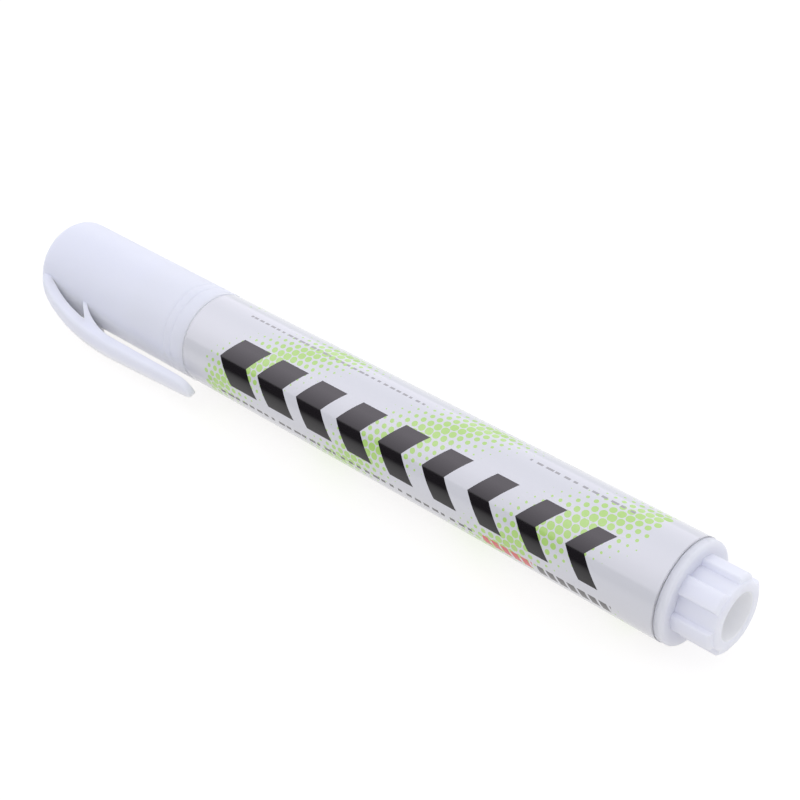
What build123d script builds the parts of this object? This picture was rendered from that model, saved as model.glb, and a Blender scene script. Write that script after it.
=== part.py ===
from build123d import *
import os
from math import cos, radians, sin

# Paint marker with a sprung valve behind its nib, lying on its side.
# Millimetres. The pen's axis runs along X: the cap's closed end is towards -X, the rear plug towards +X.
# While it is modelled, x = 0 is the cap's closed end and the axis is the X axis.

# Fits between pieces
running_clearance = 0.08
press_clearance = 0.02
film_clearance = 0.02

# Barrel and its printed film
barrel_radius = 7.8
barrel_length = 93.36
barrel_wall = 1.0
film_thickness = 0.1
barrel_lip = 0.12
shoulder_thickness = 2.0
neck_length = 9.0
neck_step = 1.4
neck_wall = 1.2
neck_bead_height = 0.05
neck_bead_width = 1.2
rim_gap = 0.08

# Cap
cap_length = 39.07
cap_step = 0.06
cap_flare = 0.2
cap_end_round = 1.3
cap_end_crown = 0.6
cap_end_wall = 1.8
cap_skirt_depth = 14.0
cap_upper_wall = 1.75
rim_chamfer = 0.1
ring_offsets = (3.2, 5.0)
ring_width = 0.8
ring_depth = 0.13

# Clip, moulded with the cap; its start and edge lie in the corner of the closed end, its stations hold
# distance from the closed end, rise of its back over the cap's rim, thickness and half width, and
# the last one is its knee
clip_turn = 204.0
clip_length = 43.1
clip_start = (1.0, -0.56)
clip_edge = (2.6, 1.05, 4.75)
clip_stations = (
    (5.0, 2.02, 1.6, 4.55),
    (9.0, 3.14, 1.65, 4.05),
    (14.0, 3.9, 1.6, 3.45),
    (22.6, 4.17, 1.65, 2.6),
)
clip_root_half_width = 2.6
clip_tip_half_width = 2.12
clip_tip_length = 3.2
clip_tip_drop = 0.85
clip_tip_thickness = 1.2
clip_edge_round = 0.6
web_foot_from_end = 12.7
web_foot_width = 1.2
web_lean = 3.4
web_flare_height = 0.9
window_root_from_end = 3.4

# Front section
holder_flange_thickness = 1.2
holder_flange_gap = 0.3
holder_skirt_length = 9.5
cone_length = 10.5
cone_step = 1.3
sleeve_length = 4.0
sleeve_wall = 0.9

# Nib; its radius and its point's bulge are shares
nib_share = 0.43
nib_length = 21.5
nib_reach = 6.0
nib_point_length = 4.0
nib_point_bulge = (0.3, 0.6)

# Valve; its radii are shares of the neck's bore
press_travel = 2.0
seat_margin = 0.5
seat_thickness = 1.4
seat_gap = 0.05
tail_share = 0.19
stem_share = 0.25
seat_share = 0.325
seal_share = 0.5
head_share = 0.52
valve_bore_share = 0.66
valve_share = 0.82
seal_thickness = 0.9
head_thickness = 1.2
tail_reach = 0.6
valve_flange_thickness = 1.0
retainer_thickness = 1.5
retainer_notch_radius = 0.8
retainer_notch_count = 4

# Valve spring
wire_diameter = 0.45
spring_length = 9.5
spring_inset = 0.3
end_pitch = 0.95
end_half_turns = 2
active_half_turns = 10
spring_seat_gap = 0.03
gap_samples = 720

# Mixing ball
ball_radius = 2.4
ball_wall_gap = 0.1
ball_front_gap = 1.0

# Inner cap
inner_cap_gap = 0.3
inner_cap_wall = 0.8
inner_cap_floor = 1.0
inner_cap_overlap = 2.5
inner_cap_socket_depth = 4.0
inner_cap_socket_wall = 0.8
inner_cap_lip_length = 0.8

# Rear plug
seam_gap = 0.14
seam_depth = 0.5
plug_depth = 8.0
plug_wall = 1.1
plug_flange_thickness = 1.4
plug_flange_step = 0.1
plug_flange_round = 0.55
stub_length = 6.4
stub_core_radius = 5.1
rib_count = 6
rib_turn = 12.5
rib_width = 2.85
rib_radius = 5.95
rib_setback = 0.4
rib_corner_round = 0.25
rib_end_round = 0.6
stub_end_round = 0.5
stub_bore_radius = 3.5
stub_bore_depth = 6.2
stub_bore_chamfer = 0.25

# Places along the pen, from the cap's closed end
shoulder_x = cap_length + rim_gap
neck_front_x = shoulder_x - neck_length
barrel_rear_x = shoulder_x + barrel_length
chamber_front_x = shoulder_x + shoulder_thickness
holder_flange_x = neck_front_x - holder_flange_thickness
cone_front_x = holder_flange_x - cone_length
sleeve_front_x = cone_front_x - sleeve_length
holder_rear_x = neck_front_x + holder_skirt_length
nib_tip_x = sleeve_front_x - nib_reach
nib_rear_x = nib_tip_x + nib_length
seat_front_x = nib_rear_x + press_travel + seat_margin
seat_rear_x = seat_front_x + seat_thickness
seal_x = seat_rear_x + seat_gap
head_x = seal_x + seal_thickness
spring_x = head_x + head_thickness
retainer_x = spring_x + spring_length
valve_rear_x = retainer_x + retainer_thickness
tail_rear_x = valve_rear_x + tail_reach
ball_x = tail_rear_x + press_travel + ball_front_gap + ball_radius
plug_front_x = barrel_rear_x - plug_depth
flange_x = barrel_rear_x + seam_gap
flange_rear_x = flange_x + plug_flange_thickness
stub_end_x = flange_rear_x + stub_length
rib_end_x = stub_end_x - rib_setback
bore_floor_x = stub_end_x - stub_bore_depth

# Radii
film_inner_radius = barrel_radius - film_thickness
film_seat_radius = film_inner_radius - film_clearance
chamber_radius = film_seat_radius - barrel_wall
neck_radius = barrel_radius - neck_step
neck_bore = neck_radius - neck_wall
cap_rim_radius = barrel_radius + cap_step
cap_end_radius = cap_rim_radius + cap_flare
crown_edge = cap_end_radius - cap_end_round
knee_radius = cap_rim_radius + clip_stations[-1][1]
cap_bore = neck_radius + neck_bead_height + running_clearance
cap_upper_bore = cap_rim_radius - cap_upper_wall
holder_skirt_radius = neck_bore - press_clearance
nib_radius = nib_share * neck_bore
nib_bore = nib_radius + running_clearance
sleeve_radius = nib_bore + sleeve_wall
tail_radius = tail_share * neck_bore
stem_radius = stem_share * neck_bore
seat_bore = seat_share * neck_bore
seal_radius = seal_share * neck_bore
head_radius = head_share * neck_bore
valve_bore = valve_bore_share * neck_bore
valve_radius = valve_share * neck_bore
valve_socket = valve_radius + press_clearance
retainer_radius = valve_bore - press_clearance
tail_bore = tail_radius + running_clearance
spring_radius = head_radius - spring_inset - wire_diameter / 2
ball_drop = chamber_radius - ball_wall_gap - ball_radius
inner_cap_bore = sleeve_radius + inner_cap_gap
inner_cap_radius = inner_cap_bore + inner_cap_wall
inner_cap_socket = inner_cap_radius + press_clearance
plug_radius = chamber_radius - press_clearance
plug_flange_radius = barrel_radius - plug_flange_step


def turned(*corners):
    """Solid of revolution about the pen's axis, from (x, radius) corners."""
    return revolve(make_face(Polyline(*corners, close=True)), Axis.X)


def hole(x_start, x_end, radius):
    """Round cutter on the pen's axis."""
    return turned((x_start, 0), (x_end, 0), (x_end, radius), (x_start, radius))


def make_barrel():
    """Tube with film recess, shoulder and neck; a low bead on the neck holds the cap."""
    bead_x = neck_front_x + neck_length / 2
    bead_half = neck_bead_width / 2
    bead_radius = neck_radius + neck_bead_height
    return turned(
        (neck_front_x, neck_bore),
        (neck_front_x, neck_radius),
        (bead_x - bead_half, neck_radius),
        (bead_x - bead_half / 2, bead_radius),
        (bead_x + bead_half / 2, bead_radius),
        (bead_x + bead_half, neck_radius),
        (shoulder_x, neck_radius),
        (shoulder_x, barrel_radius),
        (shoulder_x + barrel_lip, barrel_radius),
        (shoulder_x + barrel_lip, film_seat_radius),
        (barrel_rear_x - barrel_lip, film_seat_radius),
        (barrel_rear_x - barrel_lip, barrel_radius),
        (barrel_rear_x, barrel_radius),
        (barrel_rear_x, chamber_radius),
        (chamber_front_x, chamber_radius),
        (chamber_front_x, neck_bore),
    )


def make_label_sleeve():
    """Film tube that fills the recess between the barrel's lips."""
    front = shoulder_x + barrel_lip + film_clearance
    rear = barrel_rear_x - barrel_lip - film_clearance
    return turned(
        (front, film_inner_radius),
        (front, barrel_radius),
        (rear, barrel_radius),
        (rear, film_inner_radius),
    )


def make_front_section():
    """Nib holder: sleeve, cone and flange in front of the neck, skirt inside it."""
    cone_base = neck_bore - cone_step / 2
    cavity_x = neck_front_x - holder_flange_thickness / 2
    return turned(
        (sleeve_front_x, nib_bore),
        (sleeve_front_x, sleeve_radius),
        (cone_front_x, sleeve_radius),
        (holder_flange_x, cone_base),
        (holder_flange_x, neck_radius - holder_flange_gap),
        (neck_front_x, neck_radius - holder_flange_gap),
        (neck_front_x, holder_skirt_radius),
        (holder_rear_x, holder_skirt_radius),
        (holder_rear_x, valve_socket),
        (cavity_x, valve_socket),
        (cavity_x, nib_bore),
    )


def make_nib():
    """Fibre rod with a bullet point."""
    shoulder = nib_tip_x + nib_point_length
    bulge_along, bulge_out = nib_point_bulge
    point = Spline(
        (nib_tip_x, 0),
        (nib_tip_x + bulge_along * nib_point_length, bulge_out * nib_radius),
        (shoulder, nib_radius),
        tangents=[(0, 1), (1, 0)],
    )
    rest = Polyline((shoulder, nib_radius), (nib_rear_x, nib_radius), (nib_rear_x, 0), (nib_tip_x, 0))
    return revolve(make_face(point + rest), Axis.X)


def make_valve_body():
    """Cup with the seat at its front, a stop flange and a mouth for the retainer."""
    flange_front = holder_rear_x
    flange_rear = flange_front + valve_flange_thickness
    return turned(
        (seat_front_x, seat_bore),
        (seat_front_x, valve_radius),
        (flange_front, valve_radius),
        (flange_front, holder_skirt_radius),
        (flange_rear, holder_skirt_radius),
        (flange_rear, valve_radius),
        (valve_rear_x, valve_radius),
        (valve_rear_x, valve_bore),
        (seat_rear_x, valve_bore),
        (seat_rear_x, seat_bore),
    )


def make_valve_stem():
    """Rod from the nib through the seat, with a head for the spring and a guided tail."""
    return turned(
        (nib_rear_x, 0),
        (nib_rear_x, stem_radius),
        (head_x, stem_radius),
        (head_x, head_radius),
        (spring_x, head_radius),
        (spring_x, tail_radius),
        (tail_rear_x, tail_radius),
        (tail_rear_x, 0),
    )


def make_valve_seal():
    """Soft washer in front of the stem's head."""
    inner = stem_radius + press_clearance
    return turned((seal_x, inner), (seal_x, seal_radius), (head_x, seal_radius), (head_x, inner))


def make_spring_retainer():
    """Disc in the valve's mouth, with a guide hole for the tail and flow notches at its rim."""
    disc = turned(
        (retainer_x, tail_bore),
        (retainer_x, retainer_radius),
        (valve_rear_x, retainer_radius),
        (valve_rear_x, tail_bore),
    )
    middle_x = (retainer_x + valve_rear_x) / 2
    for number in range(retainer_notch_count):
        turn = 360 / retainer_notch_count * number
        notch = Rot(0, 90, 0) * Cylinder(retainer_notch_radius, 2 * retainer_thickness)
        disc -= Rot(turn, 0, 0) * Pos(middle_x, retainer_radius, 0) * notch
    return disc


def spring_path():
    """Half-turn arcs, close together at both ends and evenly spread between them."""
    first_x = spring_x + wire_diameter / 2 + spring_seat_gap
    last_x = retainer_x - wire_diameter / 2 - spring_seat_gap
    end_advance = end_pitch / 2
    active_advance = (last_x - first_x - 2 * end_half_turns * end_advance) / active_half_turns
    ends = [end_advance] * end_half_turns
    arcs = []
    x = first_x
    side = 1
    for advance in ends + [active_advance] * active_half_turns + ends:
        start = Vector(x, 0, side * spring_radius)
        finish = Vector(x + advance, 0, -side * spring_radius)
        half = (finish - start).length / 2
        arcs.append(ThreePointArc(start, Vector(x + advance / 2, side * half, 0), finish))
        x += advance
        side = -side
    return Wire(arcs)


def least_gap(path, half_turns):
    """Smallest clear distance between the wire and its own neighbouring turns."""
    points = [path @ (number / gap_samples) for number in range(gap_samples + 1)]
    apart = gap_samples // half_turns
    nearest = min(
        (points[later] - points[earlier]).length
        for earlier in range(len(points))
        for later in range(earlier + apart, len(points))
    )
    return nearest - wire_diameter


def make_valve_spring():
    """One unbroken wire, swept along the coil."""
    path = spring_path()
    gap = least_gap(path, 2 * end_half_turns + active_half_turns)
    print("valve spring: least gap to itself", round(gap, 2), "mm")
    section = Plane(origin=path @ 0, z_dir=path % 0) * Circle(wire_diameter / 2)
    return sweep(section, path=path)


def make_mixing_ball():
    """Ball that lies on the floor of the paint chamber."""
    return Pos(ball_x, 0, -ball_drop) * Sphere(ball_radius)


def clip_blade_outline():
    """Clip as a bent strip that springs from the closed end: x along the pen, y away from its axis."""
    start_x, start_rise = clip_start
    edge_x, edge_rise, _ = clip_edge
    knee_x, _, knee_thickness, _ = clip_stations[-1]
    start_radius = cap_rim_radius + start_rise
    tip_radius = knee_radius - clip_tip_drop
    back = Spline(
        (start_x, start_radius),
        (edge_x, cap_rim_radius + edge_rise),
        *[(x, cap_rim_radius + rise) for x, rise, _, _ in clip_stations],
    )
    front = Polyline(
        (knee_x, knee_radius),
        (clip_length, tip_radius),
        (clip_length, tip_radius - clip_tip_thickness),
        (knee_x, knee_radius - knee_thickness),
    )
    face = Spline(
        *[(x, cap_rim_radius + rise - thickness) for x, rise, thickness, _ in reversed(clip_stations)],
        (window_root_from_end, cap_rim_radius),
    )
    root = Polyline(
        (window_root_from_end, cap_rim_radius),
        (window_root_from_end, start_radius),
        (start_x, start_radius),
    )
    return make_face(back + front + face + root)


def web_outline():
    """Leaning web between the cap and the clip, in the same plane as the blade's outline."""
    knee_x, _, knee_thickness, _ = clip_stations[-1]
    face_radius = knee_radius - knee_thickness
    middle = knee_radius - knee_thickness / 2
    slope = (clip_tip_drop + clip_tip_thickness - knee_thickness) / (clip_length - knee_x)
    foot_front = web_foot_from_end + web_foot_width
    flare = Spline(
        (knee_x, face_radius),
        (foot_front + web_lean, face_radius - web_flare_height),
        (foot_front, cap_rim_radius),
        tangents=[(-1, slope), (-web_lean, cap_rim_radius - face_radius)],
    )
    rest = Polyline(
        (foot_front, cap_rim_radius),
        (foot_front, cap_upper_bore),
        (web_foot_from_end, cap_upper_bore),
        (web_foot_from_end, cap_rim_radius),
        (web_foot_from_end + web_lean, face_radius),
        (web_foot_from_end + web_lean, middle),
        (knee_x, middle),
        (knee_x, face_radius),
    )
    return make_face(flare + rest)


def clip_plan_outline():
    """Clip seen from outside: x along the pen, y across the clip."""
    tip_x = clip_length - clip_tip_length
    edge_x, _, edge_half_width = clip_edge
    knee_x, _, _, knee_half_width = clip_stations[-1]
    flank = Spline(
        (0, clip_root_half_width),
        (edge_x, edge_half_width),
        *[(x, half_width) for x, _, _, half_width in clip_stations],
    )
    tongue = Line((knee_x, knee_half_width), (tip_x, clip_tip_half_width))
    tip = EllipticalCenterArc((tip_x, 0), clip_tip_length, clip_tip_half_width, -90, arc_size=180)
    upper = flank + tongue
    end = Line((0, -clip_root_half_width), (0, clip_root_half_width))
    return make_face(upper + tip + mirror(upper, Plane.XZ) + end)


def make_clip():
    """Blade and web turned about the pen's axis, like the cap, trimmed to the plan outline and rounded."""
    ring = revolve(clip_blade_outline() + web_outline(), Axis.X)
    clip = ring & extrude(Plane.XZ * clip_plan_outline(), -2 * knee_radius)
    backs = [f for f in clip.faces() if f.center().Y > knee_radius - clip_stations[-1][2] / 2]
    edges = [e for f in backs for e in f.edges() if e.geom_type != GeomType.CIRCLE]
    return fillet(edges, clip_edge_round)


def make_cap():
    """Cap with crowned end, two fine rings at the rim, a socket for the liner, and the clip."""
    end_round_x = cap_end_crown + cap_end_round
    corner = cap_end_round * sin(radians(45))
    crown = ThreePointArc((0, 0), (cap_end_crown / 4, crown_edge / 2), (cap_end_crown, crown_edge))
    edge = ThreePointArc(
        (cap_end_crown, crown_edge),
        (end_round_x - corner, crown_edge + corner),
        (end_round_x, cap_end_radius),
    )
    flare = cap_flare / (cap_length - end_round_x)
    wall = [(end_round_x, cap_end_radius)]
    for offset in sorted(ring_offsets, reverse=True):
        radius = cap_rim_radius + flare * offset
        wall.append((cap_length - offset - ring_width / 2, radius))
        wall.append((cap_length - offset, radius - ring_depth))
        wall.append((cap_length - offset + ring_width / 2, radius))
    wall += [(cap_length - rim_chamfer, cap_rim_radius), (cap_length, cap_rim_radius - rim_chamfer)]
    wall += [(cap_length, 0), (0, 0)]
    shell = revolve(make_face(crown + edge + Polyline(*wall)), Axis.X) + make_clip()
    socket_x = cap_end_wall + inner_cap_socket_depth
    hollow = turned(
        (cap_end_wall, 0),
        (cap_end_wall, inner_cap_socket),
        (socket_x, inner_cap_socket),
        (socket_x, inner_cap_socket + inner_cap_socket_wall),
        (cap_end_wall, inner_cap_socket + inner_cap_socket_wall),
        (cap_end_wall, cap_upper_bore),
        (cap_length - cap_skirt_depth, cap_upper_bore),
        (cap_length - cap_skirt_depth, cap_bore),
        (cap_length, cap_bore),
        (cap_length, 0),
    )
    return Rot(clip_turn, 0, 0) * (shell - hollow)


def make_inner_cap():
    """Liner cup: its mouth closes round the front section's sleeve."""
    mouth_x = sleeve_front_x + inner_cap_overlap
    lip_bore = sleeve_radius + running_clearance
    return turned(
        (cap_end_wall, 0),
        (cap_end_wall, inner_cap_radius),
        (mouth_x, inner_cap_radius),
        (mouth_x, lip_bore),
        (mouth_x - inner_cap_lip_length, lip_bore),
        (mouth_x - 2 * inner_cap_lip_length, inner_cap_bore),
        (cap_end_wall + inner_cap_floor, inner_cap_bore),
        (cap_end_wall + inner_cap_floor, 0),
    )


def rib_star():
    """Cross-section of the plug's stub: a round core with ribs of even width."""
    star = Sketch() + Circle(stub_core_radius)
    for number in range(rib_count):
        bar = Pos(rib_radius / 2, 0) * Rectangle(rib_radius, rib_width)
        star += Rot(0, 0, rib_turn + 360 / rib_count * number) * (bar & Circle(rib_radius))
    middle = (stub_core_radius + rib_radius) / 2
    tops = [v for v in star.vertices() if Vector(v).length > middle]
    return fillet(tops, rib_corner_round)


def make_rear_plug():
    """Skirt inside the barrel, flange outside it, and the ribbed stub with its blind hole."""
    flange = turned(
        (barrel_rear_x, 0),
        (barrel_rear_x, barrel_radius - seam_depth),
        (flange_x, barrel_radius - seam_depth),
        (flange_x, plug_flange_radius),
        (flange_rear_x, plug_flange_radius),
        (flange_rear_x, 0),
    )
    rim = flange.edges().filter_by(GeomType.CIRCLE).group_by(SortBy.RADIUS)[-1].sort_by(Axis.X)[-1]
    flange = fillet(rim, plug_flange_round)
    skirt = turned(
        (plug_front_x, plug_radius - plug_wall),
        (plug_front_x, plug_radius),
        (barrel_rear_x, plug_radius),
        (barrel_rear_x, plug_radius - plug_wall),
    )
    ribs = Pos(flange_rear_x, 0, 0) * extrude(Plane.YZ * rib_star(), rib_end_x - flange_rear_x)
    envelope = hole(flange_rear_x, rib_end_x, rib_radius)
    ribs &= fillet(envelope.edges().sort_by(Axis.X)[-1], rib_end_round)
    core = hole(flange_rear_x, stub_end_x, stub_core_radius)
    core = fillet(core.edges().sort_by(Axis.X)[-1], stub_end_round)
    mouth = turned(
        (stub_end_x - stub_bore_chamfer, 0),
        (stub_end_x - stub_bore_chamfer, stub_bore_radius),
        (stub_end_x, stub_bore_radius + stub_bore_chamfer),
        (stub_end_x, 0),
    )
    return flange + skirt + ribs + core - hole(bore_floor_x, stub_end_x, stub_bore_radius) - mouth


def main():
    pieces = {
        "barrel": make_barrel(),
        "label_sleeve": make_label_sleeve(),
        "front_section": make_front_section(),
        "nib": make_nib(),
        "valve_body": make_valve_body(),
        "valve_stem": make_valve_stem(),
        "valve_seal": make_valve_seal(),
        "valve_spring": make_valve_spring(),
        "spring_retainer": make_spring_retainer(),
        "mixing_ball": make_mixing_ball(),
        "cap": make_cap(),
        "inner_cap": make_inner_cap(),
        "rear_plug": make_rear_plug(),
    }
    # The origin is under the middle of the whole marker, on the surface that it lies on.
    box = Compound(list(pieces.values())).bounding_box()
    place = Pos(-box.center().X, -box.center().Y, -box.min.Z)
    os.makedirs("parts", exist_ok=True)
    for name, piece in pieces.items():
        export_step(place * piece, f"parts/{name}.step")
    print("placed by", [round(v, 4) for v in place.position], "size", [round(v, 3) for v in box.size])


main()
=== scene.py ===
import math

import bpy
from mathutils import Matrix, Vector


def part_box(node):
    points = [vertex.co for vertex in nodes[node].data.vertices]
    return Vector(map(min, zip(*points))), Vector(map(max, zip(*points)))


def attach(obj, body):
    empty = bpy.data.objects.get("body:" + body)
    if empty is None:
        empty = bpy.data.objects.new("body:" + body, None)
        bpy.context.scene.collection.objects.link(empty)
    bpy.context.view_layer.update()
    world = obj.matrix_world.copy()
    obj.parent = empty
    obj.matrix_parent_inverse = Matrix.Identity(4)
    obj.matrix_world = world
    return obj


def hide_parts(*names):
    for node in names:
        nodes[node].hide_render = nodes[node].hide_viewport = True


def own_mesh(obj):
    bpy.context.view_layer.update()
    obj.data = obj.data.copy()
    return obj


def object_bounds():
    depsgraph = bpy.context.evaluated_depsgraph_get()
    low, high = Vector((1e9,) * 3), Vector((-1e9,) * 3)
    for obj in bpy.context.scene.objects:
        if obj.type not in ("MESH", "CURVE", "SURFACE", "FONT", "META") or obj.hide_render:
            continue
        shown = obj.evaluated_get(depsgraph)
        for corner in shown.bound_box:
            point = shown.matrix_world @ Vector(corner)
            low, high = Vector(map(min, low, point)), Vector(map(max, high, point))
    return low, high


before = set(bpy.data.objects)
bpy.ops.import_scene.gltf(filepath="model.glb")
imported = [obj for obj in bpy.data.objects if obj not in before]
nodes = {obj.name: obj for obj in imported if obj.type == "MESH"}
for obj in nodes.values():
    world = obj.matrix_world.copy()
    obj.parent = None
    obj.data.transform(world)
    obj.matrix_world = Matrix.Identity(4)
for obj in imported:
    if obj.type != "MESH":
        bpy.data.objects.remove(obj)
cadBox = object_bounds()
scene = bpy.context.scene
scene.view_settings.view_transform = "Standard"
filmLow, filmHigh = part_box("label_sleeve")
penAxis = (filmLow + filmHigh) / 2  # the pen lies along X, through this point
print("frame loaded, pieces:", len(nodes))


def addNode(tree, kind, **settings):
    node = tree.nodes.new(kind)
    for name, value in settings.items():
        setattr(node, name, value)
    return node


def feed(tree, socket, value):
    # a socket takes another node's output or a plain value
    if isinstance(value, bpy.types.NodeSocket):
        tree.links.new(value, socket)
    else:
        socket.default_value = value


def calc(tree, operation, *values):
    node = addNode(tree, "ShaderNodeMath", operation=operation)
    for socket, value in zip(node.inputs, values):
        feed(tree, socket, value)
    return node.outputs[0]


def mixColor(tree, share, below, above):
    node = addNode(tree, "ShaderNodeMix", data_type="RGBA")
    feed(tree, node.inputs[0], share)
    feed(tree, node.inputs[6], below)  # sockets 6 and 7 are the colour pair
    feed(tree, node.inputs[7], above)
    return node.outputs[2]


def mixNumber(tree, share, below, above):
    node = addNode(tree, "ShaderNodeMix", data_type="FLOAT")
    feed(tree, node.inputs[0], share)
    feed(tree, node.inputs[2], below)
    feed(tree, node.inputs[3], above)
    return node.outputs[0]


def remap(tree, value, start, end, before, after, kind="LINEAR"):
    # value from start..end to before..after, held level outside
    node = addNode(tree, "ShaderNodeMapRange", interpolation_type=kind)
    feed(tree, node.inputs[0], value)
    for socket, number in zip(node.inputs[1:5], (start, end, before, after)):
        socket.default_value = number
    return node.outputs[0]


def spread(tree, value, low, high):
    return remap(tree, value, 0.0, 1.0, low, high)  # 0..1 to low..high


def noise(tree, place, scale, detail=3.0, roughness=0.55):
    node = addNode(tree, "ShaderNodeTexNoise")
    feed(tree, node.inputs["Vector"], place)
    node.inputs["Scale"].default_value = scale
    node.inputs["Detail"].default_value = detail
    node.inputs["Roughness"].default_value = roughness
    return node.outputs["Fac"]


def bump(tree, height, distance, strength=1.0, under=None):
    node = addNode(tree, "ShaderNodeBump")
    node.inputs["Strength"].default_value = strength
    node.inputs["Distance"].default_value = distance
    feed(tree, node.inputs["Height"], height)
    if under is not None:
        feed(tree, node.inputs["Normal"], under)
    return node.outputs[0]


def newMaterial(name):
    material = bpy.data.materials.new(name)
    material.use_nodes = True
    tree = material.node_tree
    shader = tree.nodes["Principled BSDF"]
    place = addNode(tree, "ShaderNodeTexCoord").outputs["Object"]
    return material, tree, shader, place


def stretched(tree, place, scale):
    node = addNode(tree, "ShaderNodeMapping", vector_type="POINT")
    feed(tree, node.inputs["Vector"], place)
    node.inputs["Scale"].default_value = scale
    return node.outputs[0]


def roundPen(tree, place):
    # how far a point lies along the pen, to its near side and above its axis
    spot = addNode(tree, "ShaderNodeSeparateXYZ")
    feed(tree, spot.inputs[0], place)
    sideways = calc(tree, "SUBTRACT", penAxis.y, spot.outputs["Y"])
    upward = calc(tree, "SUBTRACT", spot.outputs["Z"], penAxis.z)
    return spot.outputs["X"], sideways, upward


def length(tree, first, second):
    squares = [calc(tree, "MULTIPLY", side, side) for side in (first, second)]
    return calc(tree, "SQRT", calc(tree, "ADD", *squares))


def paintedBoreLight(tree, place, edge):
    # painted light: 1 inside a hole on the pen's axis, where the colour is lightened against the shade
    # in the hole
    _, sideways, upward = roundPen(tree, place)
    return remap(tree, length(tree, sideways, upward), *edge, 1.0, 0.0, "SMOOTHSTEP")


def paintedGapLight(tree, reach, wide, narrow):
    # painted light: 0 on open surfaces, 1 deep in a gap, found by occlusion, where the colour is
    # lightened against the shade
    near = addNode(tree, "ShaderNodeAmbientOcclusion", samples=8)
    near.inputs["Distance"].default_value = reach
    return remap(tree, near.outputs["AO"], wide, narrow, 0.0, 1.0)


# what all moulded pieces share, unless a piece's own look says otherwise
mouldedLook = {
    "flowStretch": (0.12, 1, 1), "flowDepth": 0.00002, "flowStrength": 0.6,
    "grainDepth": 0.00001, "grainDetail": 2.0, "grainStrength": 0.7,
    "ior": 1.49, "gloss": 0.5,
}


def mouldedPlastic(name, pieceLook):
    # satin moulded plastic: faint clouding, flow marks along the pen and a fine sparked grain
    look = {**mouldedLook, **pieceLook}
    material, tree, shader, place = newMaterial(name)
    cloud = noise(tree, place, look["cloudScale"])
    flow = noise(tree, stretched(tree, place, look["flowStretch"]), look["flowScale"])
    grain = noise(tree, place, look["grainScale"], look["grainDetail"])
    tone = mixColor(tree, cloud, look["color"], look["shade"])
    # painted light: the colour is lightened deep in a hole or gap, where shade falls, standing in for
    # light through the milky walls
    if "gap" in look:
        tone = mixColor(tree, paintedGapLight(tree, *look["gap"]), tone, look["hollow"])
    if "paintedBoreEdge" in look:
        tone = mixColor(tree, paintedBoreLight(tree, place, look["paintedBoreEdge"]), tone, look["hollow"])
    feed(tree, shader.inputs["Base Color"], tone)
    feed(tree, shader.inputs["Roughness"], spread(tree, flow, *look["roughness"]))
    soft = bump(tree, flow, look["flowDepth"], look["flowStrength"])
    rough = bump(tree, grain, look["grainDepth"], look["grainStrength"], soft)
    feed(tree, shader.inputs["Normal"], rough)
    shader.inputs["IOR"].default_value = look["ior"]
    shader.inputs["Specular IOR Level"].default_value = look["gloss"]
    if "glow" in look:  # milky plastic lets light through its skin
        shader.inputs["Subsurface Weight"].default_value = look["glow"]
        shader.inputs["Subsurface Radius"].default_value = (1, 1, 1)
        shader.inputs["Subsurface Scale"].default_value = look["glowDepth"]
    return material


def dress(node, material):
    mesh = nodes[node].data
    mesh.materials.clear()
    mesh.materials.append(material)


capLook = {
    "color": (0.820, 0.829, 0.966, 1), "shade": (0.799, 0.811, 0.951, 1),
    "cloudScale": 90.0, "flowScale": 420.0, "grainScale": 9000.0,
    "roughness": (0.36, 0.46), "gloss": 0.22, "grainDepth": 0.000012,
    "glow": 0.9, "glowDepth": 0.0018,
    # painted light: a lighter, bluer colour deep in the gaps under the clip and in the cap's hollows
    "hollow": (0.940, 0.948, 0.995, 1), "gap": (0.006, 0.75, 0.25),
}
dress("cap", mouldedPlastic("capPlastic", capLook))

plugLook = {
    "color": (0.822, 0.828, 0.930, 1), "shade": (0.802, 0.809, 0.916, 1),
    "cloudScale": 140.0, "flowScale": 500.0, "grainScale": 9000.0,
    "roughness": (0.38, 0.48), "gloss": 0.22, "grainDepth": 0.000012,
    "glow": 0.9, "glowDepth": 0.0035,
    # painted light: a lighter colour inside the hole in the end of the plug
    "hollow": (0.985, 0.985, 0.990, 1), "paintedBoreEdge": (0.0034, 0.0037),
}
dress("rear_plug", mouldedPlastic("plugPlastic", plugLook))

barrelLook = {
    "color": (0.773, 0.772, 0.827, 1), "shade": (0.750, 0.753, 0.812, 1),
    "cloudScale": 80.0, "flowScale": 380.0, "grainScale": 7000.0,
    "roughness": (0.34, 0.44), "glow": 0.8, "glowDepth": 0.0015,
    # painted light: a lighter colour deep in narrow gaps, such as the joint at the cap's rim
    "hollow": (0.970, 0.970, 0.985, 1), "gap": (0.0008, 0.8, 0.3),
}
dress("barrel", mouldedPlastic("barrelPlastic", barrelLook))

holderLook = {
    "color": (0.795, 0.789, 0.796, 1), "shade": (0.761, 0.761, 0.775, 1),
    "cloudScale": 160.0, "flowScale": 520.0, "grainScale": 8000.0, "roughness": (0.30, 0.42),
}
dress("front_section", mouldedPlastic("holderPlastic", holderLook))

linerLook = {
    "color": (0.784, 0.778, 0.754, 1), "shade": (0.727, 0.728, 0.723, 1),
    "cloudScale": 200.0, "flowScale": 600.0, "grainScale": 6000.0, "roughness": (0.32, 0.46),
}
dress("inner_cap", mouldedPlastic("linerPlastic", linerLook))

valveLook = {
    "color": (0.727, 0.733, 0.712, 1), "shade": (0.682, 0.689, 0.681, 1),
    "cloudScale": 260.0, "flowScale": 700.0, "grainScale": 8000.0, "roughness": (0.30, 0.40),
}
dress("valve_body", mouldedPlastic("valvePlastic", valveLook))

stemLook = {**valveLook, "color": (0.79, 0.78, 0.75, 1), "flowScale": 900.0}
dress("valve_stem", mouldedPlastic("stemPlastic", stemLook))

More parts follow.
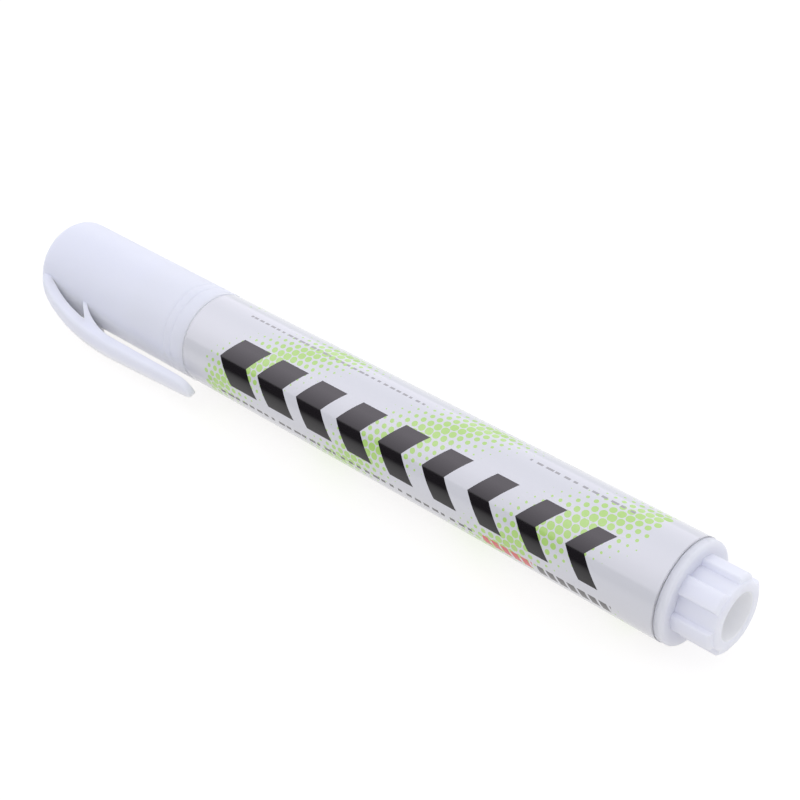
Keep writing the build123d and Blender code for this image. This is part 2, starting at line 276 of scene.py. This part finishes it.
retainerLook = {**valveLook, "shade": (0.75, 0.75, 0.75, 1)}
dress("spring_retainer", mouldedPlastic("retainerPlastic", retainerLook))
print("moulded plastics ready")


sealLook = {
    "color": (0.045, 0.048, 0.052, 1), "bloom": (0.085, 0.088, 0.092, 1),
    "bloomScale": 900.0, "bloomDetail": 5.0, "roughness": (0.62, 0.8),
    "grainScale": 5000.0, "grainDepth": 0.00001, "grainStrength": 0.6,
}


def sealRubber(look):
    # dull rubber with a pale bloom
    material, tree, shader, place = newMaterial("sealRubber")
    bloom = noise(tree, place, look["bloomScale"], look["bloomDetail"])
    grain = noise(tree, place, look["grainScale"])
    feed(tree, shader.inputs["Base Color"], mixColor(tree, bloom, look["color"], look["bloom"]))
    feed(tree, shader.inputs["Roughness"], spread(tree, bloom, *look["roughness"]))
    feed(tree, shader.inputs["Normal"], bump(tree, grain, look["grainDepth"], look["grainStrength"]))
    return material


dress("valve_seal", sealRubber(sealLook))


def brightSteel(name, look):
    # drawn or ground steel: fine lines in one direction and faint smears
    material, tree, shader, place = newMaterial(name)
    drawn = stretched(tree, place, look["lineStretch"])
    lines = noise(tree, drawn, look["lineScale"], look["lineDetail"])
    smear = noise(tree, place, look["smearScale"])
    feed(tree, shader.inputs["Base Color"], mixColor(tree, smear, look["color"], look["shade"]))
    feed(tree, shader.inputs["Roughness"], spread(tree, lines, *look["roughness"]))
    feed(tree, shader.inputs["Normal"], bump(tree, lines, look["lineDepth"], look["lineStrength"]))
    shader.inputs["Metallic"].default_value = 1.0
    return material


ballLook = {
    "color": (0.60, 0.60, 0.60, 1), "shade": (0.52, 0.52, 0.53, 1), "smearScale": 300.0,
    "lineStretch": (1, 0.2, 1), "lineScale": 2500.0, "lineDetail": 4.0,
    "lineDepth": 0.000002, "lineStrength": 0.4, "roughness": (0.08, 0.2),
}
dress("mixing_ball", brightSteel("ballSteel", ballLook))

springLook = {
    "color": (0.62, 0.61, 0.59, 1), "shade": (0.50, 0.49, 0.48, 1), "smearScale": 600.0,
    "lineStretch": (1, 1, 1), "lineScale": 4000.0, "lineDetail": 4.0,
    "lineDepth": 0.000004, "lineStrength": 0.4, "roughness": (0.18, 0.34),
    "wire": 0.00045, "endPitch": 0.00095, "turns": 7, "closedTurns": 1.0, "ease": 0.25,
    "stepsPerTurn": 48, "sides": 14,
}
springSteel = brightSteel("springSteel", springLook)
dress("valve_spring", springSteel)


def coilSpring(look, material):
    # one round wire, closed up at both ends
    low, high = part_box("valve_spring")
    wire, sides, perTurn = look["wire"], look["sides"], look["stepsPerTurn"]
    radius = (high.z - low.z - wire) / 2
    steps = look["turns"] * perTurn
    endStep = look["endPitch"] / perTurn
    arcStep = radius * 2 * math.pi / perTurn

    def openness(turn):
        # 0 in the closed end turns, 1 between them
        fromEnd = min(turn, look["turns"] - turn) - look["closedTurns"]
        share = min(1.0, max(0.0, fromEnd / (2 * look["ease"]) + 0.5))
        return share * share * (3 - 2 * share)

    opened = [openness((step + 0.5) / perTurn) for step in range(steps)]
    run = high.x - low.x - wire
    extra = (run - endStep * steps) / sum(opened)
    corners, faces, x = [], [], low.x + wire / 2
    for step in range(steps + 1):
        turn = 2 * math.pi * step / perTurn
        out = Vector((0, math.sin(turn), math.cos(turn)))
        advance = endStep + extra * opened[min(step, steps - 1)]
        ahead = Vector((advance, 0, 0)) + Vector((0, out.z, -out.y)) * arcStep
        across = ahead.normalized().cross(out)
        centre = Vector((x, penAxis.y, penAxis.z)) + out * radius
        for side in range(sides):
            roll = 2 * math.pi * side / sides
            corners.append(centre + (out * math.cos(roll) + across * math.sin(roll)) * (wire / 2))
        x += advance
    for step in range(steps):
        here, there = step * sides, (step + 1) * sides
        for side in range(sides):
            after = (side + 1) % sides
            faces.append((here + side, here + after, there + after, there + side))
    tube = len(faces)
    faces.append(tuple(reversed(range(sides))))  # flat cut ends
    faces.append(tuple(range(steps * sides, (steps + 1) * sides)))

    mesh = bpy.data.meshes.new("valve_spring_coil")
    mesh.from_pydata(corners, [], faces)
    mesh.materials.append(material)
    for face in mesh.polygons:
        face.use_smooth = face.index < tube
    coil = bpy.data.objects.new("valve_spring_coil", mesh)
    scene.collection.objects.link(coil)
    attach(coil, "barrel")
    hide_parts("valve_spring")
    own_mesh(coil)


coilSpring(springLook, springSteel)


nibLook = {
    "color": (0.818, 0.794, 0.723, 1), "shade": (0.682, 0.661, 0.597, 1),
    "paint": (0.886, 0.867, 0.817, 1), "paintShare": 0.35, "roughness": (0.72, 0.95), "sheen": 0.15,
    "strandStretch": (0.05, 1, 1), "strandScale": 5200.0, "strandDetail": 4.0, "strandRough": 0.65,
    "strandDepth": 0.00004, "strandStrength": 0.8,
    "feltScale": 3800.0, "feltDetail": 5.0, "feltRough": 0.7, "feltDepth": 0.00003, "feltStrength": 0.6,
}


def nibFibre(look):
    # bundled fibres along the pen, with dried paint between them
    material, tree, shader, place = newMaterial("nibFibre")
    bundle = stretched(tree, place, look["strandStretch"])
    strands = noise(tree, bundle, look["strandScale"], look["strandDetail"], look["strandRough"])
    felt = noise(tree, place, look["feltScale"], look["feltDetail"], look["feltRough"])
    tone = mixColor(tree, strands, look["color"], look["shade"])
    tone = mixColor(tree, calc(tree, "MULTIPLY", felt, look["paintShare"]), tone, look["paint"])
    feed(tree, shader.inputs["Base Color"], tone)
    feed(tree, shader.inputs["Roughness"], spread(tree, felt, *look["roughness"]))
    fine = bump(tree, felt, look["feltDepth"], look["feltStrength"])
    coarse = bump(tree, strands, look["strandDepth"], look["strandStrength"], fine)
    feed(tree, shader.inputs["Normal"], coarse)
    shader.inputs["Sheen Weight"].default_value = look["sheen"]
    return material


dress("nib", nibFibre(nibLook))
print("rubber, steel and fibre ready")


printLook = {
    "white": (0.736, 0.733, 0.770, 1), "cloud": (0.719, 0.718, 0.756, 1),
    "black": (0.014, 0.012, 0.014, 1), "green": (0.477, 0.722, 0.209, 1),
    "red": (0.727, 0.100, 0.105, 1), "grey": (0.125, 0.118, 0.120, 1), "faint": (0.375, 0.367, 0.377, 1),
    "chevronStart": 8.4, "chevronPitch": 8.7, "chevronCount": 9, "chevronLean": 0.78,
    "chevronMiddle": 3.7, "chevronHalfHeight": 4.1, "strokeFirst": 6.1, "strokeStep": 0.36,
    "dotRows": 40, "dotLargest": 0.70, "dotSpan": (5.0, 88.0),
    "bandWidth": 10.5, "bandPitch": 30.0, "bandStarts": 2, "bandStart": 10.0,
    "panel": (17.5, 76.5, 19.9, 8.2), "lineSpan": (20.0, 74.0), "lineCount": 6, "lineFirst": 17.0,
    "linePitch": 1.15, "lineHeight": 0.5, "dashFirst": 1.3, "dashStep": 0.17, "dashFill": (0.35, 0.9),
    "blockLean": 0.35, "blockFill": 0.74,
    "cloudScale": 120.0, "smearScale": 260.0, "roughness": (0.07, 0.13), "ior": 1.5,
    "waveStretch": (0.4, 1, 1), "waveScale": 160.0, "waveDetail": 1.0,
    "waveDepth": 0.00003, "waveStrength": 0.3,
}
# lengths on the film are in mm: start, end, place round the barrel, height, length of one block, and ink
blockRows = [(64.0, 73.0, -3.1, 1.7, 1.8, "red"), (73.9, 86.5, -3.1, 1.7, 1.8, "grey")]
# the same for rules, with the length of one dash
fineRules = [
    (8.4, 46.0, 12.4, 0.45, 1.3, "faint"),
    (8.4, 62.0, -2.8, 0.6, 1.7, "grey"),
    (66.0, 84.0, 12.4, 0.45, 1.6, "faint"),
]
for line in range(printLook["lineCount"]):  # small rules on the panel at the back
    middle = printLook["lineFirst"] + printLook["linePitch"] * line
    dash = printLook["dashFirst"] + printLook["dashStep"] * line
    fineRules.append((*printLook["lineSpan"], middle, printLook["lineHeight"], dash, "faint"))
mmPerMetre = 1000.0


def inside(tree, value, low, high):
    above = calc(tree, "GREATER_THAN", value, low)
    return calc(tree, "MULTIPLY", above, calc(tree, "LESS_THAN", value, high))


def chevronRow(tree, along, around, look):
    # bold arrows that point to the nib, each with a thinner stroke than the one before
    off = calc(tree, "ABSOLUTE", calc(tree, "SUBTRACT", around, look["chevronMiddle"]))
    run = calc(tree, "SUBTRACT", calc(tree, "SUBTRACT", along, look["chevronStart"]),
               calc(tree, "MULTIPLY", off, look["chevronLean"]))
    turn = calc(tree, "DIVIDE", run, look["chevronPitch"])
    number = calc(tree, "FLOOR", turn)
    within = calc(tree, "MULTIPLY", calc(tree, "FRACT", turn), look["chevronPitch"])
    thinner = calc(tree, "MULTIPLY", number, look["strokeStep"])
    stroke = calc(tree, "SUBTRACT", look["strokeFirst"], thinner)
    shape = calc(tree, "MULTIPLY", calc(tree, "LESS_THAN", within, stroke),
                 calc(tree, "LESS_THAN", off, look["chevronHalfHeight"]))
    return calc(tree, "MULTIPLY", shape, inside(tree, number, -0.5, look["chevronCount"] - 0.5))


def dotBand(tree, along, around, girth, look):
    # dots in staggered rows, largest along a band that winds round the barrel and meets itself behind
    rise = girth / look["dotRows"]
    pitch = rise / math.sqrt(0.75)  # equal gaps on all sides of a dot
    slope = look["bandStarts"] * look["bandPitch"] / girth
    row = calc(tree, "DIVIDE", around, rise)
    rowNumber = calc(tree, "ROUND", row)
    shift = calc(tree, "MULTIPLY", calc(tree, "FLOORED_MODULO", rowNumber, 2.0), 0.5)
    column = calc(tree, "SUBTRACT", calc(tree, "DIVIDE", along, pitch), shift)
    columnNumber = calc(tree, "ROUND", column)
    dx = calc(tree, "MULTIPLY", calc(tree, "SUBTRACT", column, columnNumber), pitch)
    dy = calc(tree, "MULTIPLY", calc(tree, "SUBTRACT", row, rowNumber), rise)
    dotAlong = calc(tree, "MULTIPLY", calc(tree, "ADD", columnNumber, shift), pitch)
    dotAround = calc(tree, "MULTIPLY", rowNumber, rise)
    line = calc(tree, "SUBTRACT", calc(tree, "SUBTRACT", dotAlong, look["bandStart"]),
                calc(tree, "MULTIPLY", dotAround, slope))
    cycle = calc(tree, "PINGPONG", line, look["bandPitch"] / 2)
    size = remap(tree, cycle, 0.0, look["bandWidth"], look["dotLargest"], 0.0)
    dots = calc(tree, "LESS_THAN", length(tree, dx, dy), size)
    return calc(tree, "MULTIPLY", dots, inside(tree, dotAlong, *look["dotSpan"]))


def strip(tree, along, around, start, end, middle, height):
    # a straight band along the pen
    off = calc(tree, "ABSOLUTE", calc(tree, "SUBTRACT", around, middle))
    across = calc(tree, "LESS_THAN", off, height / 2)
    return calc(tree, "MULTIPLY", across, inside(tree, along, start, end))


def blockRow(tree, along, around, start, end, middle, height, cell, look):
    # even slanted blocks
    leant = calc(tree, "ADD", along, calc(tree, "MULTIPLY", around, look["blockLean"]))
    leant = calc(tree, "SUBTRACT", leant, start + middle * look["blockLean"])
    within = calc(tree, "FRACT", calc(tree, "DIVIDE", leant, cell))
    block = calc(tree, "LESS_THAN", within, look["blockFill"])
    return calc(tree, "MULTIPLY", block, strip(tree, along, around, start, end, middle, height))


def fineRule(tree, along, around, start, end, middle, height, cell, look):
    # a thin rule broken into dashes of uneven length
    place = calc(tree, "DIVIDE", along, cell)
    chance = addNode(tree, "ShaderNodeTexWhiteNoise", noise_dimensions="1D")
    feed(tree, chance.inputs["W"], calc(tree, "FLOOR", place))
    filled = spread(tree, chance.outputs["Value"], *look["dashFill"])
    dash = calc(tree, "LESS_THAN", calc(tree, "FRACT", place), filled)
    return calc(tree, "MULTIPLY", dash, strip(tree, along, around, start, end, middle, height))


def printedFilm(look):
    # thin glossy film with its print, a little wavy
    material, tree, shader, place = newMaterial("labelFilm")
    ahead, sideways, upward = roundPen(tree, place)
    along = calc(tree, "MULTIPLY", calc(tree, "SUBTRACT", ahead, filmLow.x), mmPerMetre)
    radius = (filmHigh.z - filmLow.z) / 2 * mmPerMetre
    around = calc(tree, "MULTIPLY", calc(tree, "ARCTAN2", upward, sideways), radius)
    tone = mixColor(tree, noise(tree, place, look["cloudScale"]), look["white"], look["cloud"])
    dots = dotBand(tree, along, around, 2 * math.pi * radius, look)
    clear = calc(tree, "SUBTRACT", 1.0, strip(tree, along, around, *look["panel"]))
    tone = mixColor(tree, calc(tree, "MULTIPLY", dots, clear), tone, look["green"])
    for *rule, ink in fineRules:
        tone = mixColor(tree, fineRule(tree, along, around, *rule, look), tone, look[ink])
    for *row, ink in blockRows:
        tone = mixColor(tree, blockRow(tree, along, around, *row, look), tone, look[ink])
    tone = mixColor(tree, chevronRow(tree, along, around, look), tone, look["black"])
    feed(tree, shader.inputs["Base Color"], tone)
    smear = noise(tree, place, look["smearScale"])
    feed(tree, shader.inputs["Roughness"], spread(tree, smear, *look["roughness"]))
    drawn = stretched(tree, place, look["waveStretch"])
    wave = noise(tree, drawn, look["waveScale"], look["waveDetail"])
    feed(tree, shader.inputs["Normal"], bump(tree, wave, look["waveDepth"], look["waveStrength"]))
    shader.inputs["IOR"].default_value = look["ior"]
    return material


dress("label_sleeve", printedFilm(printLook))
print("printed film ready")


studio = {
    "floorSize": 3.0, "floorColor": (0.36, 0.352, 0.338, 1), "floorCloud": (0.372, 0.364, 0.35, 1),
    "floorCloudScale": 40.0, "floorRoughness": 0.9,
    "floorCast": (0.880, 0.868, 0.874, 1), "floorGlow": 0.52,
    "floorShown": (1.0, 0.994, 0.984, 1), "floorShownGlow": 0.733,
    "skyTint": (0.880, 0.900, 0.955, 1), "skyLevel": 0.92, "skySlope": (0.0, 0.22, 0.15),
    "keyCentre": (-0.36, -0.417, 0.432), "keySize": (0.62, 0.75), "keyRadiance": 0.2,
    "arcRadius": 0.6, "arcSpan": (-0.95, 0.25), "arcFrom": 10.4, "arcTo": 165.0, "arcSteps": 48,
    "arcRise": (10.4, 52.0, 1.5, 3.0), "arcFall": (66.0, 120.0, 1.0, 0.6),
    "arcTint": (1.0, 0.94, 1.04, 1),
    "cardSpan": (-0.22, 0.1), "cardNear": 0.018, "cardFar": 0.09, "cardFade": (0.018, 0.054),
    "cardBase": 0.0005, "cardRise": 0.0165,
}


def straightRays(tree):
    # camera, mirror and see-through rays meet the plain white backdrop
    rays = addNode(tree, "ShaderNodeLightPath")
    shown = calc(tree, "MAXIMUM", rays.outputs["Is Camera Ray"], rays.outputs["Is Glossy Ray"])
    return calc(tree, "MAXIMUM", shown, rays.outputs["Is Transmission Ray"])


def stageMesh(name, corners, faces, material):
    mesh = bpy.data.meshes.new(name)
    mesh.from_pydata(corners, [], faces)
    mesh.materials.append(material)
    holder = bpy.data.objects.new(name, mesh)
    scene.collection.objects.link(holder)
    return holder


def onlyInGloss(holder):
    holder.visible_camera = holder.visible_diffuse = False
    holder.visible_transmission = holder.visible_shadow = False


def makeFloor(look):
    # white light table: most of its white comes from within, so that only a soft shadow stays
    material, tree, shader, place = newMaterial("floorPaper")
    cloud = noise(tree, place, look["floorCloudScale"])
    tone = mixColor(tree, cloud, look["floorColor"], look["floorCloud"])
    feed(tree, shader.inputs["Base Color"], tone)
    shader.inputs["Roughness"].default_value = look["floorRoughness"]
    shader.inputs["Specular IOR Level"].default_value = 0.0
    seen = straightRays(tree)
    tint = mixColor(tree, seen, look["floorCast"], look["floorShown"])
    feed(tree, shader.inputs["Emission Color"], tint)
    glow = spread(tree, seen, look["floorGlow"], look["floorShownGlow"])
    feed(tree, shader.inputs["Emission Strength"], glow)
    half = look["floorSize"] / 2
    corners = [(-half, -half, 0), (half, -half, 0), (half, half, 0), (-half, half, 0)]
    floor = stageMesh("floor", corners, [(0, 1, 2, 3)], material)
    floor.location.z = cadBox[0].z


def makeSky(look):
    world = bpy.data.worlds.new("studioSky")
    world.use_nodes = True
    scene.world = world
    tree = world.node_tree
    back = tree.nodes["Background"]
    straight = straightRays(tree)
    feed(tree, back.inputs["Color"], mixColor(tree, straight, look["skyTint"], (1, 1, 1, 1)))
    # a little brighter above and behind the pen than in front of it
    towards = addNode(tree, "ShaderNodeVectorMath", operation="DOT_PRODUCT")
    feed(tree, towards.inputs[0], addNode(tree, "ShaderNodeTexCoord").outputs["Generated"])
    towards.inputs[1].default_value = look["skySlope"]
    level = calc(tree, "ADD", towards.outputs["Value"], look["skyLevel"])
    feed(tree, back.inputs["Strength"], mixNumber(tree, straight, level, 1.0))


def makeKey(look):
    # a large soft lamp beside the pen
    lamp = bpy.data.lights.new("keyLamp", "AREA")
    lamp.shape = "RECTANGLE"
    lamp.size, lamp.size_y = look["keySize"]
    lamp.energy = look["keyRadiance"] * math.pi * lamp.size * lamp.size_y
    lamp.color = look["skyTint"][:3]
    holder = bpy.data.objects.new("keyLamp", lamp)
    scene.collection.objects.link(holder)
    holder.location = penAxis + Vector(look["keyCentre"])
    away = Vector((0, *look["keyCentre"][1:]))  # it faces the pen squarely
    holder.rotation_euler = away.to_track_quat("Z", "Y").to_euler()
    holder.visible_glossy = False


def glowMaterial(name):
    # near black, so that only its own light shows
    material, tree, shader, place = newMaterial(name)
    shader.inputs["Base Color"].default_value = (0.01, 0.01, 0.01, 1)
    shader.inputs["Specular IOR Level"].default_value = 0.0
    shader.inputs["Emission Color"].default_value = (1, 1, 1, 1)
    return material, tree, shader, place


def makeArc(look):
    # bowed diffuser over the pen that gives the film its gloss, with a straight lower edge
    material, tree, shader, place = glowMaterial("diffuserArc")
    _, sideways, upward = roundPen(tree, place)
    angle = calc(tree, "DEGREES", calc(tree, "ARCTAN2", upward, sideways))
    rise = remap(tree, angle, *look["arcRise"])
    fall = remap(tree, angle, *look["arcFall"], "SMOOTHSTEP")
    feed(tree, shader.inputs["Emission Strength"], calc(tree, "MULTIPLY", rise, fall))
    shader.inputs["Emission Color"].default_value = look["arcTint"]
    low, high = (penAxis.x + edge for edge in look["arcSpan"])
    corners, faces = [], []
    sweep = look["arcTo"] - look["arcFrom"]
    for step in range(look["arcSteps"] + 1):
        turn = math.radians(look["arcFrom"] + sweep * step / look["arcSteps"])
        y = penAxis.y - look["arcRadius"] * math.cos(turn)
        z = penAxis.z + look["arcRadius"] * math.sin(turn)
        corners += [(low, y, z), (high, y, z)]
        if step:
            faces.append((2 * step - 2, 2 * step - 1, 2 * step + 1, 2 * step))
    onlyInGloss(stageMesh("diffuserArc", corners, faces, material))


def makeCard(look):
    # dark card below the diffuser's edge, fading to white towards the pen
    material, tree, shader, place = glowMaterial("darkCard")
    _, sideways, _ = roundPen(tree, place)
    fade = remap(tree, sideways, *look["cardFade"], 1.0, 0.0, "SMOOTHSTEP")
    feed(tree, shader.inputs["Emission Strength"], fade)
    low, high = (penAxis.x + edge for edge in look["cardSpan"])
    near, far = penAxis.y - look["cardNear"], penAxis.y - look["cardFar"]
    base, top = cadBox[0].z + look["cardBase"], penAxis.z + look["cardRise"]
    corners = [(low, near, base), (high, near, base), (high, far, base), (low, far, base)]
    corners += [(high, far, top), (low, far, top)]
    onlyInGloss(stageMesh("darkCard", corners, [(0, 1, 2, 3), (3, 2, 4, 5)], material))


makeFloor(studio)
makeSky(studio)
makeKey(studio)
makeArc(studio)
makeCard(studio)

cameraSet = {
    "fromFilmEnd": (0.08309, -0.14313, 0.13586), "forward": (-0.5735, 0.6078, -0.5493),
    "lens": 71.29, "sensor": 36.0, "clipStart": 0.01,
}
camera = bpy.data.objects.new("camera", bpy.data.cameras.new("camera"))
scene.collection.objects.link(camera)
camera.data.lens = cameraSet["lens"]
camera.data.sensor_width = cameraSet["sensor"]
camera.data.clip_start = cameraSet["clipStart"]
filmEnd = Vector((filmHigh.x, penAxis.y, penAxis.z))
camera.location = filmEnd + Vector(cameraSet["fromFilmEnd"])
camera.rotation_euler = Vector(cameraSet["forward"]).to_track_quat("-Z", "Y").to_euler()
scene.camera = camera
print("studio and camera ready")
